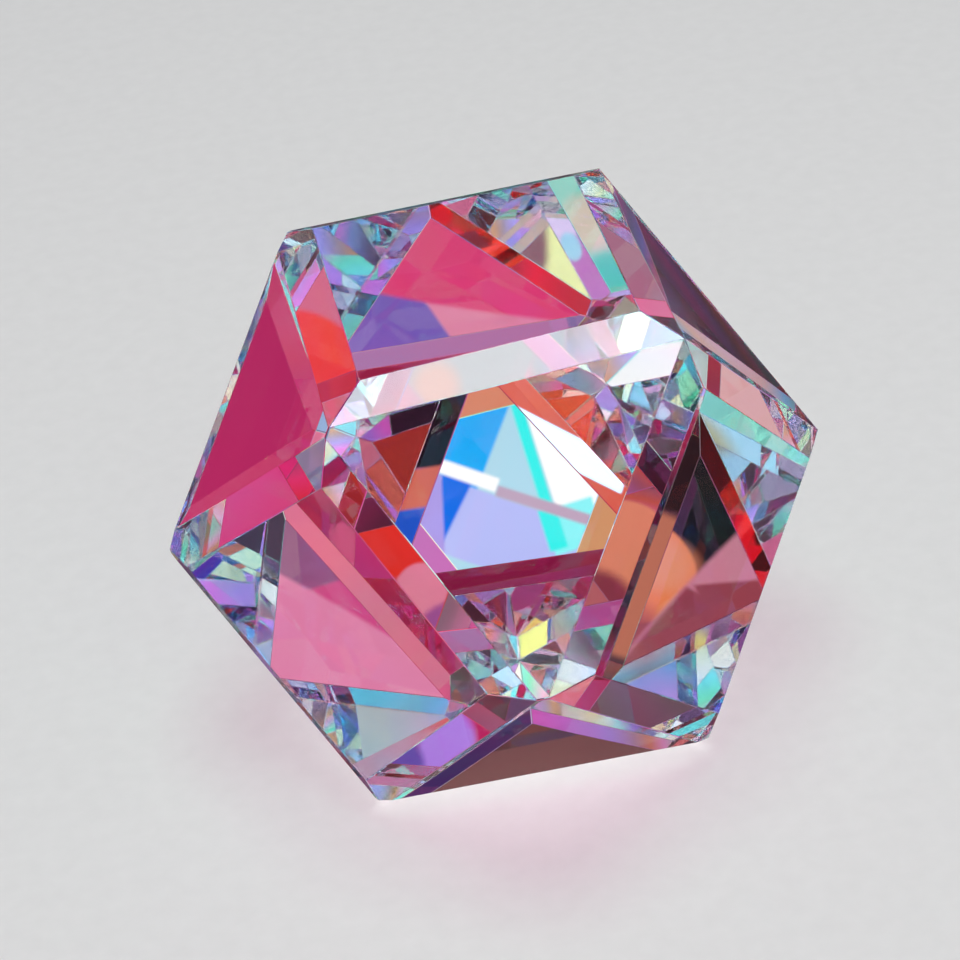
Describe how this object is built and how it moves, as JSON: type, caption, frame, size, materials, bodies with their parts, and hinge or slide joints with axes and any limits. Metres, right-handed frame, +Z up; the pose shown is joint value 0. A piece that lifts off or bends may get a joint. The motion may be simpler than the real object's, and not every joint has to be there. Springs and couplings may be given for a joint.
{
  "type": "mystic topaz gemstone",
  "caption": "Clear cut stone with square and triangular facets, a narrow flat bevel along every edge and a thin rainbow coating, resting on a square facet.",
  "frame": {"origin": "middle of the bounds at the height of the square facet that the stone rests on", "axes": "+Z up through the square table facet, -Y towards the upper triangular facet that faces the viewer, +X to the viewer's right"},
  "size_m": [0.033, 0.0338, 0.0257],
  "materials": {
    "coated_stone": "polished clear stone with a thin iridescent coating that shows magenta, violet, azure and orange-red"
  },
  "bodies": {
    "root": {"gemstone": "coated_stone"}
  },
  "joints": []
}
